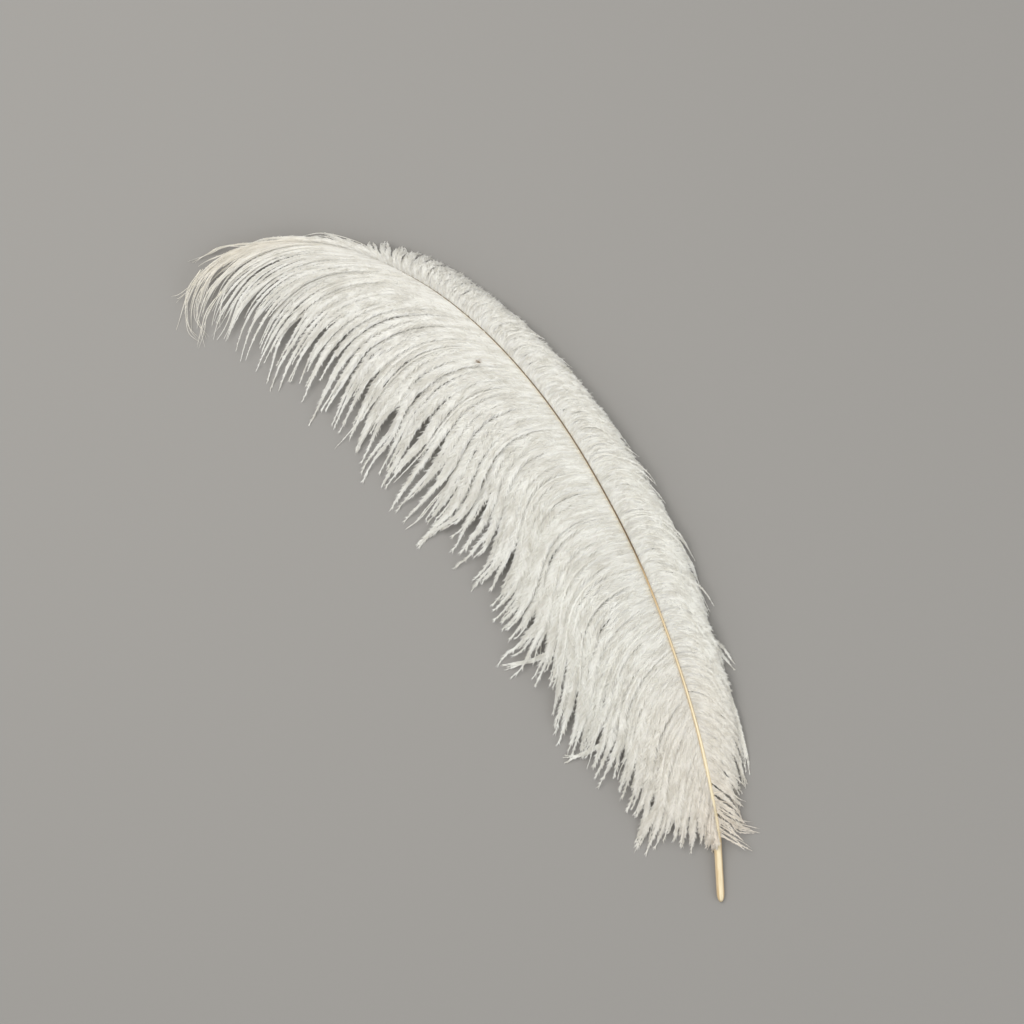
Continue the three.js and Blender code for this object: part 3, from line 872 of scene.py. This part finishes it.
def make_shaft(material):
    """The quill and the shaft: a rod that tapers to the tip, with a rounded face and a groove beneath."""
    centers, radius, grooved = shaft_line()
    rings = len(centers)
    forward, across, up = (axis[0] for axis in frames_of(centers[None], np.zeros((1, rings))))
    angle = np.linspace(0, FULL_TURN, SHAFT_SIDES, endpoint=False)
    x, z = np.cos(angle), np.sin(angle)
    groove = np.exp(-((angle - 0.75 * FULL_TURN) / GROOVE_WIDTH) ** 2)
    depth = 1 - grooved[:, None] * groove
    corners = (
        centers[:, None, :]
        + across[:, None, :] * (radius[:, None] * x * depth)[..., None]
        + up[:, None, :] * (radius[:, None] * z * depth)[..., None]
    )

    # Its two ends close to a point each: the bottom of a small sunk pore, and the tip.
    pore = centers[0] + forward[0] * PORE_DEPTH
    point = centers[-1] + forward[-1] * POINT_LENGTH
    corners = np.concatenate([corners.reshape(-1, 3), pore[None], point[None]])
    corners[:, 2] = np.maximum(corners[:, 2], LOWEST / 2)
    index = np.arange(rings * SHAFT_SIDES).reshape(rings, SHAFT_SIDES)
    right = np.roll(index, -1, axis=1)
    quads = np.stack([index[:-1], right[:-1], right[1:], index[1:]], axis=-1).reshape(-1, 4)
    first, last = rings * SHAFT_SIDES, rings * SHAFT_SIDES + 1
    ends = [[first, right[0, i], index[0, i]] for i in range(SHAFT_SIDES)]
    ends += [[last, index[-1, i], right[-1, i]] for i in range(SHAFT_SIDES)]
    triangles = np.concatenate([quads[:, [0, 1, 2]], quads[:, [0, 2, 3]], np.array(ends)])

    # On the map the shaft runs from 0 to 1, and its face lies from its left flank at 0 to its right one at 1.
    u = np.repeat(np.linspace(0, 1, rings), SHAFT_SIDES)
    v = np.tile((x + 1) / 2, rings)
    uv = np.concatenate([np.column_stack([u, v]), [[0, 0.5], [1, 0.5]]])
    piece = make_mesh("shaft", [(corners, triangles, uv)], material)
    piece.data.shade_smooth()
    return piece


def make_vane(vane, stretches, rng):
    """A vane's barbs and barbules, as one object for each stretch (name, from, to, material) of the shaft."""
    barbs = make_barbs(vane, rng)
    pieces = []
    for name, low, high, material in stretches:
        some = pick(barbs, (barbs["place"] >= low) & (barbs["place"] < high))
        parts = [barb_ribbons(some), webs(some, rng), barbules(some, rng)]
        pieces.append(make_mesh(name, parts, material))
    return pieces


def add_area_light(name, position, size, watts, color):
    """A square light that is turned to the middle of the table."""
    data = bpy.data.lights.new(name, "AREA")
    data.shape = "SQUARE"
    data.size = size
    data.energy = watts
    data.color = color
    light = bpy.data.objects.new(name, data)
    light.location = position
    light.rotation_euler = (-Vector(position)).to_track_quat("-Z", "Y").to_euler()
    bpy.context.collection.objects.link(light)


# Vanes
rng = np.random.default_rng(SEED)
white = barb_material("barbs_white")
specked = barb_material("barbs_white_specked", SPECK)
pieces = make_vane(LEFT, [
    ("left_low", 0, 0.36, white),
    ("left_middle", 0.36, 0.62, white),
    ("left_high", 0.62, 0.82, specked),
    ("left_tip", 0.82, 1.1, white),
], rng)
pieces += make_vane(RIGHT, [
    ("right_low", 0, 0.5, white),
    ("right_high", 0.5, 1.1, white),
], rng)
for piece in pieces:
    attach(piece, "root")
    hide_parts("ostrich_feather")

# Shaft
shaft = make_shaft(shaft_material())
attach(shaft, "root")
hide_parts("ostrich_feather")

# Table
bpy.ops.mesh.primitive_plane_add(size=TABLE_SIZE, location=(0, 0, 0))
table = bpy.context.object
table.name = "table"
table.data.materials.append(plain_material("table_grey", TABLE_GREY, TABLE_ROUGHNESS))

# Light
world = bpy.data.worlds.new("studio")
bpy.context.scene.world = world
world.use_nodes = True
background = world.node_tree.nodes["Background"]
background.inputs["Color"].default_value = WORLD_COLOR
background.inputs["Strength"].default_value = WORLD_STRENGTH
for light in LIGHTS:
    add_area_light(*light)

# Camera: straight above, and square to the table
data = bpy.data.cameras.new("camera")
data.lens = LENS
data.sensor_width = SENSOR
camera = bpy.data.objects.new("camera", data)
camera.location = (*VIEW_CENTER, VIEW_WIDTH * LENS / SENSOR + VIEW_HEIGHT)
bpy.context.collection.objects.link(camera)
bpy.context.scene.camera = camera
bpy.context.scene.view_settings.view_transform = "Standard"

# Light passes from barb to barb many times, which keeps the plume white.
bpy.context.scene.cycles.max_bounces = 16
bpy.context.scene.cycles.diffuse_bounces = 12
bpy.context.scene.cycles.transmission_bounces = 12
